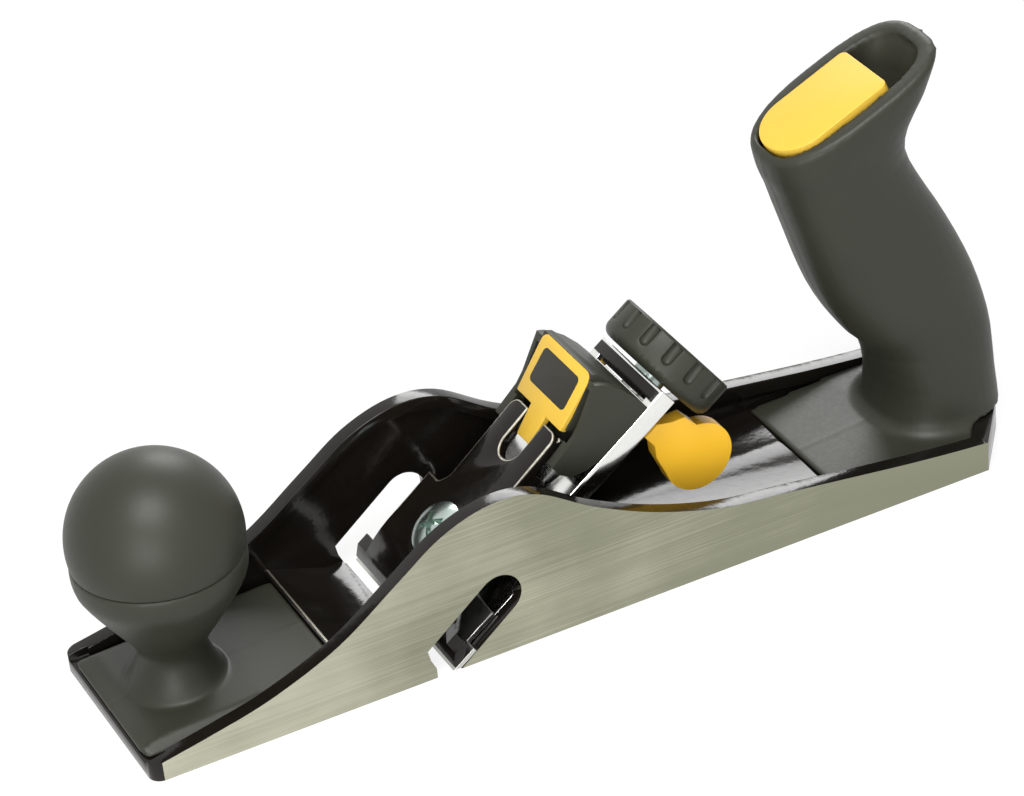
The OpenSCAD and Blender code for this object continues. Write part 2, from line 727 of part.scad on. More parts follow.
module lever_cap() {
    shoulder = 33;
    wide_half = 25;
    crown_half = 18.5;
    edge_top = 3.4;
    ear_half = half_w - 0.3;
    color(black_enamel) on_bed() difference() {
        union() {
            intersection() {
                side_slab(2 * ear_half) cap_outline();
                translate([0, -ear_half, 0]) cube([ear_len, 2 * ear_half, edge_top]);
            }
            intersection() {
                side_slab(2 * wide_half) cap_outline();
                rotate([90, 0, 90]) linear_extrude(shoulder) polygon([
                    [-wide_half, 0], [wide_half, 0], [wide_half, edge_top], [crown_half, cap_top_1],
                    [-crown_half, cap_top_1], [-wide_half, edge_top]]);
            }
            intersection() {
                side_slab(cap_w) cap_outline();
                linear_extrude(20) prong_plan();
            }
            for (s = [-1, 1]) translate([shoulder - 1, 0, 0]) shoulder_fillet(s);
            translate([screw_u, 0, cap_top_0 - 2]) cylinder(d = screw_head_d + 5, h = 2 + ring_rise, $fn = 64);
            lugs();
            side_ribs();
        }
        translate([screw_u, 0, 0]) cylinder(d = screw_d + 1, h = 20, $fn = 48);
        translate([cam_u, 0, cam_w]) rotate([90, 0, 0])
            cylinder(r = cam_pin_d / 2 + fit, h = 60, center = true, $fn = 48);
    }
}

// Upper plate with its two rounded prongs
module prong_plan() {
    slot_bottom = cap_len - 14.5;
    r = 3;
    difference() {
        union() {
            translate([20, -cap_w / 2]) square([cap_len - r - 20, cap_w]);
            translate([cap_len - 2 * r, -cap_w / 2 + r]) square([2 * r, cap_w - 2 * r]);
            for (s = [-1, 1]) translate([cap_len - r, s * (cap_w / 2 - r)]) circle(r = r, $fn = 32);
        }
        translate([slot_bottom + prong_gap / 2, 0]) circle(d = prong_gap, $fn = 48);
        translate([slot_bottom + prong_gap / 2, -prong_gap / 2]) square([40, prong_gap]);
    }
}

// Round shoulder where the wide foot meets the upper plate
module shoulder_fillet(s) {
    r = 6;
    intersection() {
        translate([0, s * (cap_w / 2 + r / 2), 0]) difference() {
            translate([0, -r / 2, 0]) cube([r, r, 20]);
            translate([r, s * r / 2, -over]) cylinder(r = r, h = 30, $fn = 48);
        }
        translate([1 - 33, 0, 0]) side_slab(body_w) cap_outline();
    }
}

// Ears under the prongs that carry the cam pin
module lugs() {
    lug_t = (cap_w - prong_gap) / 2 - 1.2;
    r = cam_pin_d / 2 + 1.5;
    for (s = [-1, 1]) translate([cam_u, s * (prong_gap / 2 + 0.8 + lug_t / 2), 0]) {
        translate([0, lug_t / 2, cam_w]) rotate([90, 0, 0]) cylinder(r = r, h = lug_t, $fn = 48);
        translate([-r, -lug_t / 2, cam_w]) cube([2 * r, lug_t, cap_top_0 - cam_w]);
    }
}

// Two stiffening ribs under the plate
module side_ribs() {
    for (s = [-1, 1]) translate([screw_u + 8, s * (cap_w / 2 - 1.5) - 1.5, 4.6])
        cube([cam_u - screw_u - 16, 3, 3.4]);
}

ring_rise = 0.7;     // ring under the cap screw's head, above the cap's knee

module cap_screw() {
    head_low = cap_top_0 + ring_rise;
    head_h = 4.4;
    dome_r = 13;
    color(zinc) on_bed() translate([screw_u, 0, 0]) difference() {
        union() {
            translate([0, 0, bed_top - 9]) cylinder(r = screw_d / 2 - fit, h = head_low - bed_top + 9, $fn = 48);
            intersection() {
                translate([0, 0, head_low]) cylinder(d = screw_head_d, h = head_h, $fn = 64);
                translate([0, 0, head_low + head_h - dome_r]) sphere(r = dome_r, $fn = 96);
            }
        }
        for (a = [45, 135]) translate([0, 0, head_low + head_h - 1.2]) rotate([0, 0, a])
            cube([8, 1.7, 3.6], center = true);
    }
}

// Side outlines of the cam lever, measured from the cam pin: its walls, and the block
// between them that carries the insert
lever_foot = carrier_top + gap - cam_w;
lever_side = [
    [-3.3, 4.1], [0, 4.5], [6, 5.2], [9.7, 6.5], [20.5, 12.1], [21.8, 10.5], [23.1, 7.7], [24.3, 3.9],
    [25.1, -1.5], [25.2, lever_foot], [6.1, lever_foot], [2, -5.3], [-1.9, -2.9], [-3.5, 0.5]
];
lever_block = [
    [-2, 5.6], [5.4, 5.9], [9.9, 7.3], [22.1, 12.7], [23.3, 10.9], [24.3, 3.9], [9.5, -5.4], [2, -5.1],
    [-2, -5.1]
];
lever_inside = lever_w / 2 - 3.2;
lever_skin = lever_w / 2 - 1.6;
pin_half = lever_skin - 0.1;
prong_sweep = 8.9;

module on_pin() {
    on_bed() translate([cam_u, 0, cam_w]) children();
}

module cam_lever() {
    color(dark_plastic) on_pin() difference() {
        union() {
            side_slab(lever_w) polygon(lever_side);
            side_slab(2 * lever_inside - 0.1) polygon(lever_block);
        }
        difference() {
            union() {
                rotate([90, 0, 0]) cylinder(r = prong_sweep, h = 2 * lever_inside, center = true, $fn = 64);
                translate([-12, -lever_inside, -12]) cube([12, 2 * lever_inside, 24]);
                translate([1.5, -lever_inside, lever_foot - over]) cube([20.4, 2 * lever_inside, 9]);
            }
            cam_web();
        }
        for (s = [-1, 1]) side_groove(s);
        insert_seat(fit);
        rotate([90, 0, 0]) cylinder(r = cam_pin_d / 2 + 0.02, h = 2 * pin_half + 0.1, center = true, $fn = 48);
    }
}

// Deep groove between the insert's block and the lever's wall, closed at its top end
module side_groove(s) {
    inner = lever_inside - 0.15;
    middle = s * (inner + lever_skin) / 2;
    translate([0, middle, 0]) side_slab(lever_skin - inner) polygon([
        [4, 2], [18.5, 6.8], [18.5, 24], [4, 24]]);
}

// Middle web whose round end presses on the carrier
module cam_web() {
    web = prong_gap - 1.2;
    cam_r = -lever_foot;
    rotate([90, 0, 0]) cylinder(r = cam_r - 1.2, h = web, center = true, $fn = 64);
    translate([0, -web / 2, -cam_r]) cube([14, web, cam_r + 3.4]);
}

// Ends of the insert's face, measured from the cam pin
insert_low = [5.3, 6.8];
insert_high = [22.1, 12.25];
insert_t = 1.6;

// T-shaped face plate: a panel with a tongue that reaches between the prongs
module insert_plan(grow) {
    panel = norm(insert_high - insert_low);
    low_half = 12.4;
    high_half = 13.2;
    corner = 2.5;
    tongue_half = prong_gap / 2 - 0.5;
    tongue = 9;
    polygon(concat(
        [[-grow, -low_half - grow]],
        arc(panel - corner, corner - high_half, corner + grow, -90, 0, 15),
        arc(panel - corner, high_half - corner, corner + grow, 0, 90, 15),
        [[-grow, low_half + grow], [-grow, tongue_half], [-tongue, tongue_half - 0.6],
        [-tongue, 0.6 - tongue_half], [-grow, -tongue_half]]));
}

module on_insert() {
    slope = atan2(insert_high[1] - insert_low[1], insert_high[0] - insert_low[0]);
    translate([insert_low[0], 0, insert_low[1]]) rotate([0, -slope, 0]) children();
}

module insert_seat(grow) {
    on_insert() translate([0, 0, -insert_t - grow]) linear_extrude(insert_t + 8) insert_plan(grow);
}

module cam_insert() {
    color(yellow_plastic) on_pin() on_insert() translate([0, 0, -insert_t])
        linear_extrude(insert_t + 0.5) insert_plan(0);
}

module cam_pin() {
    color(bright_steel) on_pin() rotate([90, 0, 0])
        cylinder(d = cam_pin_d, h = 2 * pin_half, center = true, $fn = 48);
}

module depth_stud() {
    color(zinc) on_bed() translate([stud_start + 0.5, 0, stud_w]) rotate([0, 90, 0])
        cylinder(r = stud_d / 2 - fit, h = wheel_u + wheel_t - 3 - stud_start, $fn = 48);
}

hub_d = 7.6;
collar_d = 9.6;
clip_d = 9.4;
nut_d = 14;
clip_t = 1;
yoke_t = 3;
yoke_half = 11;
yoke_play = 0.5;
yoke_side_play = 2;

// Wheel with round-ended grip slots in its side and a dished rear face
module depth_wheel() {
    shoulder = 3;
    bevel = 0.6;
    slot_low = 4.2;
    slot_rim = 0.5;
    slot_out = 0.35;
    r = wheel_d / 2;
    color(dark_plastic) on_bed() translate([wheel_u, 0, stud_w]) rotate([0, 90, 0]) difference() {
        rotate_extrude($fn = 96) polygon(concat(
            [[nut_d / 2, 0]],
            arc(r - shoulder, shoulder, shoulder, -90, 0, 15),
            [[r, wheel_t - bevel], [r - bevel, wheel_t], [r - 3.4, wheel_t], [r - 4.4, wheel_t - 3],
            [nut_d / 2, wheel_t - 3]]));
        for (i = [0:wheel_grips - 1]) rotate([0, 0, 360 * i / wheel_grips])
            translate([r + slot_out, 0, slot_low + grip_w / 2]) {
                sphere(d = grip_w, $fn = 24);
                cylinder(d = grip_w, h = wheel_t - slot_rim - slot_low - grip_w / 2, $fn = 24);
            }
    }
}

// Steel nut moulded into the wheel; its hub runs in the yoke
module depth_nut() {
    color(zinc) on_bed() translate([wheel_u, 0, stud_w]) rotate([0, 90, 0]) difference() {
        union() {
            cylinder(r = nut_d / 2 - 0.01, h = wheel_t - 4, $fn = 64);
            translate([0, 0, yoke_u - wheel_u - 2.6]) cylinder(d = hub_d, h = 12, $fn = 64);
            translate([0, 0, yoke_u + yoke_t + end_play - wheel_u])
                cylinder(d = collar_d, h = wheel_u - yoke_u - yoke_t, $fn = 64);
        }
        translate([0, 0, -20]) cylinder(r = stud_d / 2, h = 60, $fn = 48);
        translate([0, 0, yoke_u - wheel_u - clip_t - end_play - fit]) difference() {
            cylinder(d = hub_d + 2, h = clip_t + 2 * fit, $fn = 64);
            translate([0, 0, -over]) cylinder(d = groove_d, h = 5, $fn = 64);
        }
    }
}
groove_d = 6.2;
end_play = 0.15;

module wheel_clip() {
    color(bright_steel) on_bed() translate([yoke_u - clip_t - end_play, 0, stud_w]) rotate([0, 90, 0])
        difference() {
            cylinder(d = clip_d, h = clip_t, $fn = 64);
            translate([0, 0, -over]) cylinder(d = groove_d + 0.1, h = 5, $fn = 64);
            translate([1.6, -2.4, -over]) cube([clip_d, 4.8, 5]);
        }
}

// Plate that carries the wheel's hub; its top edge pulls the carrier by a window
module adjuster_yoke() {
    boss_r = 7;
    color(black_enamel) on_bed() difference() {
        union() {
            translate([yoke_u, -yoke_half, bed_top - 0.2 - yoke_rise])
                cube([yoke_t, 2 * yoke_half, yoke_rise + carrier_t]);
            translate([yoke_u + keeper_back, -yoke_half, carrier_top - 1])
                cube([yoke_t - keeper_back, 2 * yoke_half, 1 + keeper_gap + keeper_t]);
            translate([yoke_u + keeper_back, -keeper_half, carrier_top + keeper_gap])
                cube([keeper_len, 2 * keeper_half, keeper_t]);
            translate([yoke_u, -boss_r, stud_w]) cube([yoke_t, 2 * boss_r, bed_top - 1 - stud_w]);
            intersection() {
                translate([yoke_u, 0, stud_w]) rotate([0, 90, 0])
                    cylinder(r = boss_r, h = yoke_t, $fn = 64);
                translate([yoke_u, -boss_r, stud_w - boss_r]) cube([yoke_t, 2 * boss_r, boss_r + over]);
            }
        }
        translate([yoke_u - 10, 0, stud_w]) rotate([0, 90, 0])
            cylinder(r = hub_d / 2 + fit, h = 20, $fn = 64);
    }
}
yoke_rise = 2.4;
keeper_back = 0.9;   // keeper strip on the carrier, set back from the yoke's front face
keeper_gap = 0.1;
keeper_t = 0.7;
keeper_len = 3.3;
keeper_half = carrier_w / 2 - 1.1;

paddle_u = leg_u1 + 2;
paddle_w = -32.2;

// Steel strip on the bed with a pin at its front end and a leg beside the stud
module lateral_lever() {
    strip_w = 8;
    top = bed_top - 0.1;
    color(bright_steel) on_bed() difference() {
        union() {
            translate([lateral_u, 0, top - lateral_t]) {
                cylinder(d = 11, h = lateral_t, $fn = 48);
                translate([0, -strip_w / 2, 0]) cube([leg_u1 - lateral_u, strip_w, lateral_t]);
                translate([-lateral_arm, -3.5, 0]) cube([lateral_arm, 7, lateral_t]);
                translate([-lateral_arm, 0, 0]) cylinder(d = 7, h = lateral_t, $fn = 48);
                translate([-lateral_arm, 0, 0])
                    cylinder(d = lateral_pin_d, h = lateral_t + 0.1 + carrier_t - 0.2, $fn = 48);
            }
            translate([leg_u0, leg_y - leg_t / 2, top - lateral_t])
                cube([leg_u1 - leg_u0, -leg_y + leg_t / 2, lateral_t]);
            translate([0, leg_y, 0]) side_slab(leg_t) polygon(leg_outline(0, top));
        }
        translate([lateral_u, 0, -20]) cylinder(d = 4.1, h = 30, $fn = 48);
    }
}

// Side outline of the leg, from the strip down into the paddle
function leg_outline(grow, top) = [
    [leg_u0 - grow, top], [leg_u1 + grow, top], [leg_u1 + grow, -16], [paddle_u + 2 + grow, paddle_w + 3 - grow],
    [paddle_u - 3 - grow, paddle_w + 3 - grow], [leg_u0 + 3.5 - grow, -16], [leg_u0 - grow, -10]
];

// Round paddle with a flat shoulder that clears the depth wheel
module lateral_paddle() {
    neck_top = -13.4;
    color(yellow_plastic) on_bed() translate([0, leg_y, 0]) difference() {
        union() {
            translate([paddle_u, 0, paddle_w]) rotate([90, 0, 0])
                cylinder(d = paddle_d, h = paddle_t, center = true, $fn = 96);
            side_slab(paddle_t) polygon([
                [leg_u0 + 3.4, neck_top], [leg_u1 + 1.2, neck_top], [paddle_u + 2.4, -16.8],
                [paddle_u + 5.6, -18.8], [paddle_u + 6.4, paddle_w + 5.4], [paddle_u, paddle_w],
                [paddle_u - 9.4, paddle_w + 4], [paddle_u - 7.7, -21.2], [leg_u0 + 3.4, -17.8]]);
        }
        side_slab(leg_t + 0.02) polygon(leg_outline(0.01, 0));
    }
}

module lateral_rivet() {
    color(zinc) on_bed() translate([lateral_u, 0, bed_top - 7]) cylinder(d = 4 - 0.04, h = 7 - 0.1, $fn = 48);
}

body();
knob_base();
knob_cap();
knob_bolt();
knob_washer();
handle();
handle_bolt();
handle_washer();
blade_magazine();
spare_blades();
blade();
blade_carrier();
blade_rivets();
lever_cap();
cap_screw();
guide_bush();
cam_lever();
cam_insert();
cam_pin();
depth_stud();
depth_wheel();
depth_nut();
wheel_clip();
adjuster_yoke();
lateral_lever();
lateral_paddle();
lateral_rivet();
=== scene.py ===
"""Dresses the universal plane: ground and enamelled iron, moulded plastic, plated steel."""

import json
import math

import bpy
from mathutils import Matrix, Vector

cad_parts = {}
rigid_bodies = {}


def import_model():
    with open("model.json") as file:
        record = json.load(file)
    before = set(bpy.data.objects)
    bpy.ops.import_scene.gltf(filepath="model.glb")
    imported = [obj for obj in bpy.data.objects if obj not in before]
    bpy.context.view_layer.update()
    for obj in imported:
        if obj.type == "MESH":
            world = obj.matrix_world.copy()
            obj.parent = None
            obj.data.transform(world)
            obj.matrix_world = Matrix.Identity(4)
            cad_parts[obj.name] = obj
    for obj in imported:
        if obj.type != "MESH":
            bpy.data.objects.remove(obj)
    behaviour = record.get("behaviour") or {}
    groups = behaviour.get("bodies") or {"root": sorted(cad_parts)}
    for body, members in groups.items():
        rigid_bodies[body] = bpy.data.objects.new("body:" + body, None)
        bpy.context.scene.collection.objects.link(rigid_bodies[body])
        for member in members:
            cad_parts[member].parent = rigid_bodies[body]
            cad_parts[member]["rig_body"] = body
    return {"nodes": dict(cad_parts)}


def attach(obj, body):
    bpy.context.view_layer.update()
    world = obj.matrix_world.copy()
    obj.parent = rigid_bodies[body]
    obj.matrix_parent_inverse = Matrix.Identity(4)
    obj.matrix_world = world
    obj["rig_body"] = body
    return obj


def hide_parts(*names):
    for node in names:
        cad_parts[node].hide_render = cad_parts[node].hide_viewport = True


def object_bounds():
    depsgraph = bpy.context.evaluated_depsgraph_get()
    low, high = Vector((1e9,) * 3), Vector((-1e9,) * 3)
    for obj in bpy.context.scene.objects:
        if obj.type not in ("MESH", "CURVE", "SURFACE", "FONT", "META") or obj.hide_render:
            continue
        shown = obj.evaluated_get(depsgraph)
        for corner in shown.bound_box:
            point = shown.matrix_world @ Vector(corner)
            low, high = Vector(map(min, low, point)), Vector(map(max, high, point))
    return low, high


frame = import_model()
cad_low, cad_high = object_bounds()

MM = 0.001
BODY_LENGTH = 270 * MM
HALF_WIDTH = 30.5 * MM
TOE = -BODY_LENGTH / 2
HEEL = BODY_LENGTH / 2
EDGE = Vector((TOE + 85.7 * MM, 0, 0))
BED_ANGLE = math.radians(36)
UP_BED = Vector((math.cos(BED_ANGLE), 0, math.sin(BED_ANGLE)))
OFF_BED = Vector((-math.sin(BED_ANGLE), 0, math.cos(BED_ANGLE)))

# Rims of the casting: where they start, where inner and outer edges part, and how far each is rounded
RIM_INSIDE = 25.6 * MM
RIM_MIDDLE = 29 * MM
RIM_LOWEST = 3.9 * MM
INNER_ROUND = 1.9 * MM
OUTER_ROUND = 2.4 * MM
# The cheek openings' own edges, which stay out of that rounding
OPENING_FROM = -60 * MM
OPENING_TO = -12 * MM
OPENING_TOP = 33 * MM
# The ramp's top edge before the mouth
RAMP_EDGE_FROM = -78 * MM
RAMP_EDGE_TO = -75 * MM
RAMP_LOWEST = 9 * MM
RAMP_HALF = 27.5 * MM
RAMP_WEAR = 0.3 * MM
# The lever cap's worn edges: its long sides from the knee up, and everything round the prongs
CAP_SIDE = 10.5 * MM
CAP_KNEE = 20 * MM
CAP_PRONGS = 43 * MM
CAP_TOP = 8 * MM
CAP_WEAR = 0.45 * MM
# The blank panel, measured up the insert's face from its lower end
INSERT_LOW = (65.8 * MM, 12.3 * MM)
INSERT_HIGH = (82.6 * MM, 17.75 * MM)
PANEL_HIGH = 10.2 * MM
PANEL_WIDE = 19.6 * MM
PANEL_THICK = 0.3 * MM
PANEL_MIDDLE = 9.6 * MM
PANEL_LIFT = 0.42 * MM
PANEL_CORNER = 1.6 * MM
PANEL_EDGE = 0.06 * MM
# Where the lamps point, just over the sole
LIT_HEIGHT = 40 * MM


def bed_point(along, off):
    """A point in the middle plane: along the bed from the cutting edge, and square to it."""
    return EDGE + UP_BED * along + OFF_BED * off


def bed_frame(point):
    """How far along the bed a point lies, and how far off it."""
    return (point - EDGE).dot(UP_BED), (point - EDGE).dot(OFF_BED)


def linear(hex_colour):
    """An sRGB hex colour as linear red, green, blue and alpha."""
    channels = [int(hex_colour[i:i + 2], 16) / 255 for i in (1, 3, 5)]
    return [c / 12.92 if c <= 0.04045 else ((c + 0.055) / 1.055) ** 2.4 for c in channels] + [1]


def add(tree, kind, inputs=None, **settings):
    """Adds a shader node, sets it, and gives its sockets values or links."""
    made = tree.nodes.new(kind)
    for name, value in settings.items():
        setattr(made, name, value)
    for name, value in (inputs or {}).items():
        if isinstance(value, bpy.types.NodeSocket):
            tree.links.new(value, made.inputs[name])
        else:
            made.inputs[name].default_value = value
    return made


def new_material(name, **values):
    """A material with a Principled shader; returns it, its tree, the shader and the object coordinates."""
    made = bpy.data.materials.new(name)
    made.use_nodes = True
    tree = made.node_tree
    shader = tree.nodes["Principled BSDF"]
    for socket, value in values.items():
        shader.inputs[socket.replace("_", " ")].default_value = value
    coords = add(tree, "ShaderNodeTexCoord").outputs["Object"]
    return made, tree, shader, coords


def ground_iron():
    """Surface-ground grey cast iron: a pale, warm, even satin with fine lines along the cheeks, and painted
    light and shade that make it paler towards the toe.
    """
    made, tree, shader, coords = new_material("surface_ground_cast_iron", Metallic=1.0)
    along = add(tree, "ShaderNodeMapping", {"Vector": coords, "Rotation": (0, math.radians(-2), 0),
                                            "Scale": (16, 1400, 3400)})
    lines = add(tree, "ShaderNodeTexNoise", {"Vector": along.outputs[0], "Scale": 1.0, "Detail": 5.0,
                                             "Roughness": 0.7})
    clouds = add(tree, "ShaderNodeTexNoise", {"Vector": coords, "Scale": 24.0, "Detail": 3.0})
    place = add(tree, "ShaderNodeSeparateXYZ", {"Vector": coords})
    # Painted light and shade: the cheeks are made paler towards the toe and darker towards the heel
    toe = add(tree, "ShaderNodeMapRange", {"Value": place.outputs[0], "From Min": TOE, "From Max": HEEL,
                                           "To Min": 0.3, "To Max": -0.8})
    lines_and_painted_light = add(tree, "ShaderNodeMath", {0: toe.outputs[0], 1: lines.outputs[0]}, operation="ADD")
    both = add(tree, "ShaderNodeMath", {0: lines_and_painted_light.outputs[0], 1: clouds.outputs[0]}, operation="ADD")
    shade = add(tree, "ShaderNodeMapRange", {"Value": both.outputs[0], "From Min": 0.7, "From Max": 1.3})
    colour = add(tree, "ShaderNodeMix", {0: shade.outputs[0], 6: linear("#8F907C"), 7: linear("#BEBDAA")},
                 data_type="RGBA")
    tree.links.new(colour.outputs[2], shader.inputs["Base Color"])
    sheen = add(tree, "ShaderNodeMapRange", {"Value": lines.outputs[0], "To Min": 0.42, "To Max": 0.6})
    tree.links.new(sheen.outputs[0], shader.inputs["Roughness"])
    bump = add(tree, "ShaderNodeBump", {"Strength": 0.1, "Distance": 0.00006, "Height": lines.outputs[0]})
    tree.links.new(bump.outputs[0], shader.inputs["Normal"])
    return made


def black_enamel():
    """Dipped black enamel over sand-cast iron: deep gloss with soft waves and specks from the sand."""
    made, tree, shader, coords = new_material("dipped_black_enamel", Specular_IOR_Level=0.28)
    sand = add(tree, "ShaderNodeTexNoise", {"Vector": coords, "Scale": 420.0, "Detail": 2.0})
    waves = add(tree, "ShaderNodeTexNoise", {"Vector": coords, "Scale": 70.0, "Detail": 1.0})
    colour = add(tree, "ShaderNodeMix", {0: waves.outputs[0], 6: linear("#0F0D0B"), 7: linear("#1B1813")},
                 data_type="RGBA")
    tree.links.new(colour.outputs[2], shader.inputs["Base Color"])
    gloss = add(tree, "ShaderNodeMapRange", {"Value": sand.outputs[0], "To Min": 0.1, "To Max": 0.2})
    tree.links.new(gloss.outputs[0], shader.inputs["Roughness"])
    both = add(tree, "ShaderNodeMath", {0: sand.outputs[0], 1: waves.outputs[0]}, operation="ADD")
    bump = add(tree, "ShaderNodeBump", {"Strength": 0.12, "Distance": 0.0004, "Height": both.outputs[0]})
    tree.links.new(bump.outputs[0], shader.inputs["Normal"])
    return made


def moulded_plastic(name, low, high, roughness, gloss=0.4, grain=900.0, strength=0.08):
    """Injection-moulded plastic: an even colour under the fine grain of a spark-eroded mould."""
    made, tree, shader, coords = new_material(name, Specular_IOR_Level=gloss)
    clouds = add(tree, "ShaderNodeTexNoise", {"Vector": coords, "Scale": 35.0, "Detail": 3.0})
    colour = add(tree, "ShaderNodeMix", {0: clouds.outputs[0], 6: linear(low), 7: linear(high)},
                 data_type="RGBA")
    tree.links.new(colour.outputs[2], shader.inputs["Base Color"])
    fine = add(tree, "ShaderNodeTexNoise", {"Vector": coords, "Scale": grain, "Detail": 2.0})
    sheen = add(tree, "ShaderNodeMapRange", {"Value": fine.outputs[0], "To Min": roughness - 0.05,
                                             "To Max": roughness + 0.07})
    tree.links.new(sheen.outputs[0], shader.inputs["Roughness"])
    bump = add(tree, "ShaderNodeBump", {"Strength": strength, "Distance": 0.0002,
                                        "Height": fine.outputs[0]})
    tree.links.new(bump.outputs[0], shader.inputs["Normal"])
    return made


def worked_metal(name, low, high, roughness, scale=(300, 300, 300), strength=0.05):
    """Plated, turned, ground or worn metal: a bright, clean reflection broken by tool marks."""
    made, tree, shader, coords = new_material(name, Metallic=1.0)
    stretched = add(tree, "ShaderNodeMapping", {"Vector": coords, "Scale": scale})
    marks = add(tree, "ShaderNodeTexNoise", {"Vector": stretched.outputs[0], "Scale": 1.0, "Detail": 3.0})
    colour = add(tree, "ShaderNodeMix", {0: marks.outputs[0], 6: linear(low), 7: linear(high)},
                 data_type="RGBA")
    tree.links.new(colour.outputs[2], shader.inputs["Base Color"])
    sheen = add(tree, "ShaderNodeMapRange", {"Value": marks.outputs[0], "To Min": roughness - 0.05,
                                             "To Max": roughness + 0.08})
    tree.links.new(sheen.outputs[0], shader.inputs["Roughness"])
    bump = add(tree, "ShaderNodeBump", {"Strength": strength, "Distance": 0.0001,
                                        "Height": marks.outputs[0]})
    tree.links.new(bump.outputs[0], shader.inputs["Normal"])
    return made


IRON = ground_iron()
ENAMEL = black_enamel()
# Dark green-grey nylon of the knob, the handle, the cam lever and the wheel: satin, almost neutral
DARK = moulded_plastic("satin_moulded_nylon", "#292A22", "#313229", 0.44, 0.27)
# Lemon acetal of the lid and the insert: clean, warm and slightly glossy
LEMON = moulded_plastic("lemon_moulded_acetal", "#D9AE38", "#E0BA48", 0.38)
# The paddle's copy of the yellow acetal, a little glossier, set warmer and brighter than the lid's: painted
# light and shade for the paddle under the wheel
PADDLE_YELLOW_PAINTED_LIGHT = moulded_plastic("paddle_acetal_with_painted_light", "#FCC02A", "#FFC93A", 0.34)
# Matt dark film of the blank panel on the insert
FILM = moulded_plastic("matt_black_polyester_film", "#24231D", "#2E2D26", 0.5, 0.3, 1500.0, 0.04)
# Bright nickel plate over pressed steel: near white, with crisp reflections
PLATED = worked_metal("bright_nickel_plated_steel", "#E4E4E0", "#F0F0EC", 0.14)
# Ground tool steel of the blades: cooler, with lines across the bevel
BLADE = worked_metal("surface_ground_tool_steel", "#B9B9B4", "#D2D2CC", 0.3, (60, 900, 900))
# Clear zinc plate on turned steel: bluish, softer than nickel
ZINC = worked_metal("clear_zinc_plated_steel", "#9FB0A8", "#C3CEC8", 0.27)
# Cast iron laid bare where the enamel has worn off the edges: pale specks and short lines
BARE = worked_metal("worn_bare_cast_iron", "#8E8A7C", "#DAD6C8", 0.42, (700, 700, 700), 0.2)


def deselect():
    """Leaves edit mode and clears the selection."""
    if bpy.context.object and bpy.context.object.mode != "OBJECT":
        bpy.ops.object.mode_set(mode="OBJECT")
    bpy.ops.object.select_all(action="DESELECT")


def use(piece):
    """Makes one piece selected and active."""
    deselect()
    piece.select_set(True)
    bpy.context.view_layer.objects.active = piece


def edges_where(piece, test, sharp=25.0):
    """Selects the sharp edges whose two ends and two face normals pass a test; ends in edit mode."""
    use(piece)
    bpy.ops.object.mode_set(mode="EDIT")
    bpy.ops.mesh.select_mode(type="EDGE")
    bpy.ops.mesh.select_all(action="DESELECT")
    bpy.ops.object.mode_set(mode="OBJECT")
    mesh = piece.data
    around = {}
    for face in mesh.polygons:
        for key in face.edge_keys:
            around.setdefault(key, []).append(face)
    limit = math.cos(math.radians(sharp))
    for edge in mesh.edges:
        faces = around.get(tuple(sorted(edge.vertices)), [])
        if len(faces) != 2 or faces[0].normal.dot(faces[1].normal) > limit:
            continue
        a, b = (mesh.vertices[v].co for v in edge.vertices)
        edge.select = test(a, b, faces[0].normal, faces[1].normal)
    bpy.ops.object.mode_set(mode="EDIT")


def smooth(piece, angle=32.0):
    """Smooth shading that keeps edges sharper than an angle."""
    use(piece)
    bpy.ops.object.shade_smooth_by_angle(angle=math.radians(angle))


def modify(piece, kind, **settings):
    """Adds a modifier and applies it."""
    use(piece)
    made = piece.modifiers.new(kind.title(), kind)
    for name, value in settings.items():
        setattr(made, name, value)
    bpy.ops.object.modifier_apply(modifier=made.name)


def copy_of(node, name):
    """A merged copy of a CAD node's mesh, with its flat faces joined again."""
    deselect()
    source = frame["nodes"][node]
    made = bpy.data.objects.new(name, source.data.copy())
    bpy.context.collection.objects.link(made)
    made.data.materials.clear()
    use(made)
    bpy.ops.object.mode_set(mode="EDIT")
    bpy.ops.mesh.select_all(action="SELECT")
    bpy.ops.mesh.remove_doubles(threshold=0.000004)
    bpy.ops.mesh.dissolve_limited(angle_limit=math.radians(0.6))
    bpy.ops.object.mode_set(mode="OBJECT")
    return made


def soften(piece, width, segments=2, angle=28.0):
    """Breaks every sharp edge by a small round."""
    modify(piece, "BEVEL", width=width, segments=segments, limit_method="ANGLE",
           angle_limit=math.radians(angle), harden_normals=False)


def seat(piece, node, *more):
    """A finished piece rides with its node's body and stands for it."""
    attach(piece, frame["nodes"][node]["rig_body"])
    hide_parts(node, *more)


def blended(node, name, material, voxel, passes):
    """A moulding whose faces run into one another, with the mould's parting line along its middle."""
    piece = copy_of(node, name)
    modify(piece, "REMESH", mode="VOXEL", voxel_size=voxel)
    modify(piece, "SMOOTH", factor=0.5, iterations=passes)
    use(piece)
    for vertex in piece.data.vertices:
        vertex.select = abs(vertex.co.y) < 0.55 * voxel
    bpy.ops.object.mode_set(mode="EDIT")
    bpy.ops.mesh.select_mode(type="VERT")
    bpy.ops.transform.shrink_fatten(value=0.07 * MM)
    bpy.ops.object.mode_set(mode="OBJECT")
    smooth(piece, 180.0)
    piece.data.materials.append(material)
    seat(piece, node)


def dressed(node, name, material, width=0.25 * MM, segments=2):
    """A CAD piece with broken edges and its own material."""
    piece = copy_of(node, name)
    soften(piece, width, segments)
    smooth(piece)
    piece.data.materials.append(material)
    seat(piece, node)


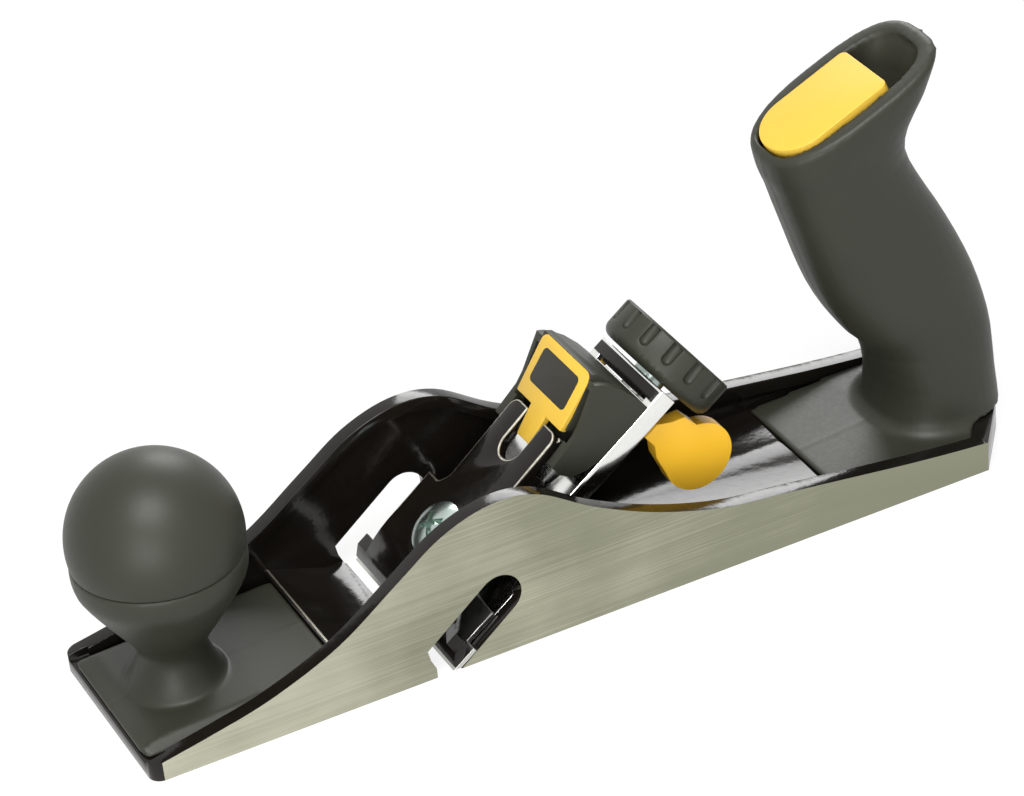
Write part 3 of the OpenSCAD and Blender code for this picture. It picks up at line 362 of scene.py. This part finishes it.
def body_casting():
    """The iron body: rounded enamelled rims, ground cheeks and sole, a worn edge at the ramp's top."""
    piece = copy_of("body", "body_casting")
    piece.data.materials.append(ENAMEL)
    piece.data.materials.append(IRON)
    piece.data.materials.append(BARE)

    def on_rim(a, b, first, second):
        outside = min(abs(a.y), abs(b.y)) > RIM_INSIDE
        along = abs(a.y - b.y) < 0.2 * MM
        upward = max(first.z, second.z) > 0.2
        in_opening = OPENING_FROM < a.x < OPENING_TO and a.z < OPENING_TOP
        return outside and along and upward and a.z > RIM_LOWEST and not in_opening

    def inner_rim(a, b, first, second):
        return on_rim(a, b, first, second) and abs(a.y) < RIM_MIDDLE

    def outer_rim(a, b, first, second):
        return on_rim(a, b, first, second) and abs(a.y) > RIM_MIDDLE

    def on_ramp(a, b, first, second):
        across = abs(a.x - b.x) < 0.1 * MM and abs(a.y) < RAMP_HALF
        in_place = RAMP_EDGE_FROM < a.x < RAMP_EDGE_TO and a.z > RAMP_LOWEST
        return across and in_place and min(first.z, second.z) > 0.5

    edges_where(piece, on_ramp, 12.0)
    bpy.ops.mesh.bevel(offset=RAMP_WEAR, segments=1, material=2)
    edges_where(piece, inner_rim)
    bpy.ops.mesh.bevel(offset=INNER_ROUND, segments=5, clamp_overlap=True)
    edges_where(piece, outer_rim)
    bpy.ops.mesh.bevel(offset=OUTER_ROUND, segments=6, clamp_overlap=True)
    bpy.ops.object.mode_set(mode="OBJECT")
    soften(piece, 0.3 * MM, 2)
    smooth(piece)
    for face in piece.data.polygons:
        cheek = abs(face.normal.y) > 0.99 and abs(face.center.y) > HALF_WIDTH - 0.05 * MM
        sole = face.normal.z < -0.99 and face.center.z < 0.05 * MM
        if cheek or sole:
            face.material_index = 1
    seat(piece, "body")


def lever_cap():
    """The enamelled cap, its prongs, slot and long sides worn bright along their top edges."""
    piece = copy_of("lever_cap", "lever_cap_casting")
    piece.data.materials.append(ENAMEL)
    piece.data.materials.append(BARE)

    def worn(a, b, first, second):
        along, off = bed_frame((a + b) / 2)
        top = max(first.dot(OFF_BED), second.dot(OFF_BED)) > 0.9
        side = abs(a.y) > CAP_SIDE and abs(b.y) > CAP_SIDE
        return top and off > CAP_TOP and (along > CAP_PRONGS or (side and along > CAP_KNEE))

    edges_where(piece, worn)
    bpy.ops.mesh.bevel(offset=CAP_WEAR, segments=2, material=1)
    bpy.ops.object.mode_set(mode="OBJECT")
    soften(piece, 0.4 * MM, 3)
    smooth(piece)
    seat(piece, "lever_cap")


def insert_panel():
    """A blank film panel with rounded corners, laid on the insert's face."""
    deselect()
    low = bed_point(*INSERT_LOW)
    high = bed_point(*INSERT_HIGH)
    rise = (high - low).normalized()
    out = Vector((-rise.z, 0, rise.x))
    turn = Matrix((rise, Vector((0, 1, 0)), out)).transposed()
    bpy.ops.mesh.primitive_cube_add(size=1, location=(0, 0, 0), scale=(PANEL_HIGH, PANEL_WIDE, PANEL_THICK))
    piece = bpy.context.object
    piece.name = "blank_panel"
    bpy.ops.object.transform_apply(location=False, rotation=False, scale=True)

    def upright(a, b, first, second):
        return abs(a.z - b.z) > 0.2 * MM

    def round_top(a, b, first, second):
        return a.z > 0 and b.z > 0 and max(first.z, second.z) > 0.9

    edges_where(piece, upright)
    bpy.ops.mesh.bevel(offset=PANEL_CORNER, segments=6)
    edges_where(piece, round_top)
    bpy.ops.mesh.bevel(offset=PANEL_EDGE, segments=2)
    bpy.ops.object.mode_set(mode="OBJECT")
    middle = low + rise * PANEL_MIDDLE + out * PANEL_LIFT
    piece.matrix_world = Matrix.Translation(middle) @ turn.to_4x4()
    bpy.ops.object.transform_apply(location=True, rotation=True, scale=True)
    smooth(piece)
    piece.data.materials.append(FILM)
    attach(piece, frame["nodes"]["cam_insert"]["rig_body"])


body_casting()
blended("knob_base", "knob_base_moulding", DARK, 0.7 * MM, 5)
dressed("knob_cap", "knob_cap_moulding", DARK, 0.5 * MM, 3)
blended("handle", "handle_moulding", DARK, 0.8 * MM, 5)
dressed("blade_magazine", "magazine_lid", LEMON, 0.7 * MM, 3)
lever_cap()
dressed("cam_lever", "cam_lever_moulding", DARK, 0.6 * MM, 3)
dressed("cam_insert", "cam_insert_plate", LEMON, 0.3 * MM, 2)
insert_panel()
dressed("depth_wheel", "depth_wheel_moulding", DARK, 0.35 * MM, 2)
dressed("blade_carrier", "blade_carrier_pressing", PLATED, 0.3 * MM, 2)
dressed("adjuster_yoke", "yoke_plate", ENAMEL, 0.15 * MM, 2)
dressed("cap_screw", "cap_screw_turned", ZINC, 0.25 * MM, 2)
# The paddle takes the copy of the yellow acetal that carries painted light and shade
dressed("lateral_paddle", "thumb_paddle", PADDLE_YELLOW_PAINTED_LIGHT, 1.2 * MM, 4)
dressed("lateral_lever", "lateral_lever_strip", PLATED, 0.2 * MM, 2)
dressed("blade", "blade_ground", BLADE, 0.05 * MM, 1)

for plain, finish in {
    "knob_bolt": ZINC, "knob_washer": ZINC, "handle_bolt": ZINC, "handle_washer": ZINC,
    "spare_blades": BLADE, "blade_rivets": ZINC, "guide_bush": ZINC, "cam_pin": BLADE,
    "depth_stud": ZINC, "depth_nut": ZINC, "wheel_clip": BLADE, "lateral_rivet": ZINC,
}.items():
    frame["nodes"][plain].data.materials.clear()
    frame["nodes"][plain].data.materials.append(finish)


def background_rays(tree):
    """One for rays that show the background: seen, reflected or transmitted."""
    path = add(tree, "ShaderNodeLightPath")
    seen = add(tree, "ShaderNodeMath", {0: path.outputs["Is Camera Ray"], 1: path.outputs["Is Glossy Ray"]},
               operation="MAXIMUM")
    return add(tree, "ShaderNodeMath", {0: seen.outputs[0], 1: path.outputs["Is Transmission Ray"]},
               operation="MAXIMUM").outputs[0]


def studio():
    """A white floor, an even white world, and softboxes behind, overhead and low in front."""
    deselect()
    bpy.ops.mesh.primitive_plane_add(size=6, location=(0, 0, cad_low[2]))
    floor = bpy.context.object
    floor.name = "studio_floor"
    made, tree, shader, _ = new_material("white_floor", Base_Color=linear("#FBFBFA"), Roughness=0.9)
    shine = add(tree, "ShaderNodeEmission", {"Color": (1, 1, 1, 1), "Strength": 1.0})
    share = add(tree, "ShaderNodeMath", {0: background_rays(tree), 1: 0.86}, operation="MULTIPLY")
    blend = add(tree, "ShaderNodeMixShader", {0: share.outputs[0], 1: shader.outputs[0],
                                              2: shine.outputs[0]})
    tree.links.new(blend.outputs[0], tree.nodes["Material Output"].inputs["Surface"])
    floor.data.materials.append(made)
    world = bpy.data.worlds.new("studio_world")
    bpy.context.scene.world = world
    world.use_nodes = True
    tree = world.node_tree
    strength = add(tree, "ShaderNodeMapRange", {"Value": background_rays(tree), "To Min": 0.18,
                                                "To Max": 1.0})
    tree.links.new(strength.outputs[0], tree.nodes["Background"].inputs["Strength"])
    tree.nodes["Background"].inputs["Color"].default_value = (1, 1, 1, 1)
    for name, place, size, power in (
        ("back_softbox", (0.85, 1.4, 1.04), 0.8, 17),
        ("overhead_softbox", (-0.3, -0.5, 1.4), 0.7, 24),
        ("front_softbox", (-0.85, -1.25, 0.4), 0.9, 15),
    ):
        lamp = bpy.data.lights.new(name, "AREA")
        lamp.size = size
        lamp.energy = power
        holder = bpy.data.objects.new(name, lamp)
        holder.location = place
        aim = Vector((0, 0, LIT_HEIGHT)) - Vector(place)
        holder.rotation_euler = aim.to_track_quat("-Z", "Y").to_euler()
        bpy.context.collection.objects.link(holder)


def camera():
    """The photograph's view, from in front of the toe, to the near side and above."""
    lens = bpy.data.cameras.new("photo_lens")
    lens.sensor_width = 36
    lens.lens = 140.6
    lens.clip_start = 0.01
    holder = bpy.data.objects.new("photo_camera", lens)
    right = Vector((0.8867, -0.4541, -0.0868)).normalized()
    back = Vector((-0.3404, -0.7682, 0.5422)).normalized()
    up = back.cross(right).normalized()
    turned = Matrix((right, up, back)).transposed().to_4x4()
    holder.matrix_world = Matrix.Translation(Vector((-370.9, -812.8, 629.0)) * MM) @ turned
    bpy.context.collection.objects.link(holder)
    bpy.context.scene.camera = holder


studio()
camera()
bpy.context.scene.view_settings.view_transform = "Standard"
